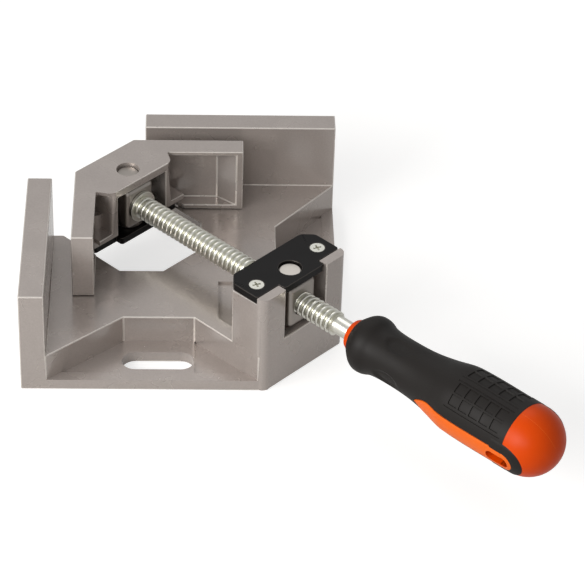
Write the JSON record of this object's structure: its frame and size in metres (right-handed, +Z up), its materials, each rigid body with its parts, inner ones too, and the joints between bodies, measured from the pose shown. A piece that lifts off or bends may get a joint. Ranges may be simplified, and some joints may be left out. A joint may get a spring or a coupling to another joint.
{
  "type": "corner clamp",
  "caption": "Cast corner clamp: two fixed fences at a right angle, a swivelling V jaw driven along the diagonal by a screw with a moulded handle, and two bench slots.",
  "frame": {"origin": "Corner where the planes of the two fence faces meet, on the bench plane. The casting is open there.", "axes": "+X along the back fence away from the corner, -Y along the left fence away from the corner, +Z up from the bench. The screw lies along +X-Y."},
  "size_m": [0.168, 0.168, 0.0371],
  "materials": {
    "cast_alloy": "die-cast, satin, with a light clear coat",
    "black_steel": "stamped steel, black oxide",
    "zinc_steel": "bright zinc plated",
    "block_steel": "machined steel, dark",
    "orange_plastic": "moulded polypropylene",
    "black_grip": "moulded thermoplastic elastomer, satin"
  },
  "bodies": {
    "base": {"base_casting": "cast_alloy", "pedestal_top_plate": "black_steel", "pedestal_plate_screws": "zinc_steel"},
    "nut": {"trunnion_nut": "block_steel"},
    "carriage": {"jaw_swivel_block": "block_steel"},
    "screw": {"lead_screw": "zinc_steel", "front_thrust_washer": "zinc_steel", "back_thrust_washer": "zinc_steel", "screw_retaining_ring": "black_steel", "handle_core": "orange_plastic", "handle_grip": "black_grip"},
    "jaw": {"jaw_casting": "cast_alloy", "jaw_bottom_plate": "black_steel", "jaw_plate_screws": "zinc_steel"}
  },
  "joints": [
    {"name": "trunnion_swing", "type": "hinge", "parent": "base", "child": "nut", "pos_m": [0.07771, -0.07771, 0.0254], "axis": [0, 0, 1], "range_deg": [-3, 3]},
    {"name": "jaw_slide", "type": "slide", "parent": "nut", "child": "carriage", "axis": [-0.7071, 0.7071, 0], "range_m": [-0.056, 0.006]},
    {"name": "screw_spin", "type": "hinge", "parent": "carriage", "child": "screw", "pos_m": [0.02489, -0.02489, 0.0254], "axis": [-0.7071, 0.7071, 0], "range_deg": [-10085, 1085]},
    {"name": "jaw_swivel", "type": "hinge", "parent": "carriage", "child": "jaw", "pos_m": [0.02489, -0.02489, 0.0254], "axis": [0, 0, 1], "range_deg": [-3, 3]}
  ],
  "couplings": [
    {"joint": "screw_spin", "follows": "jaw_slide", "rad_per_m": 3141.6},
    {"joint": "jaw_swivel", "follows": "trunnion_swing", "ratio": -1}
  ]
}
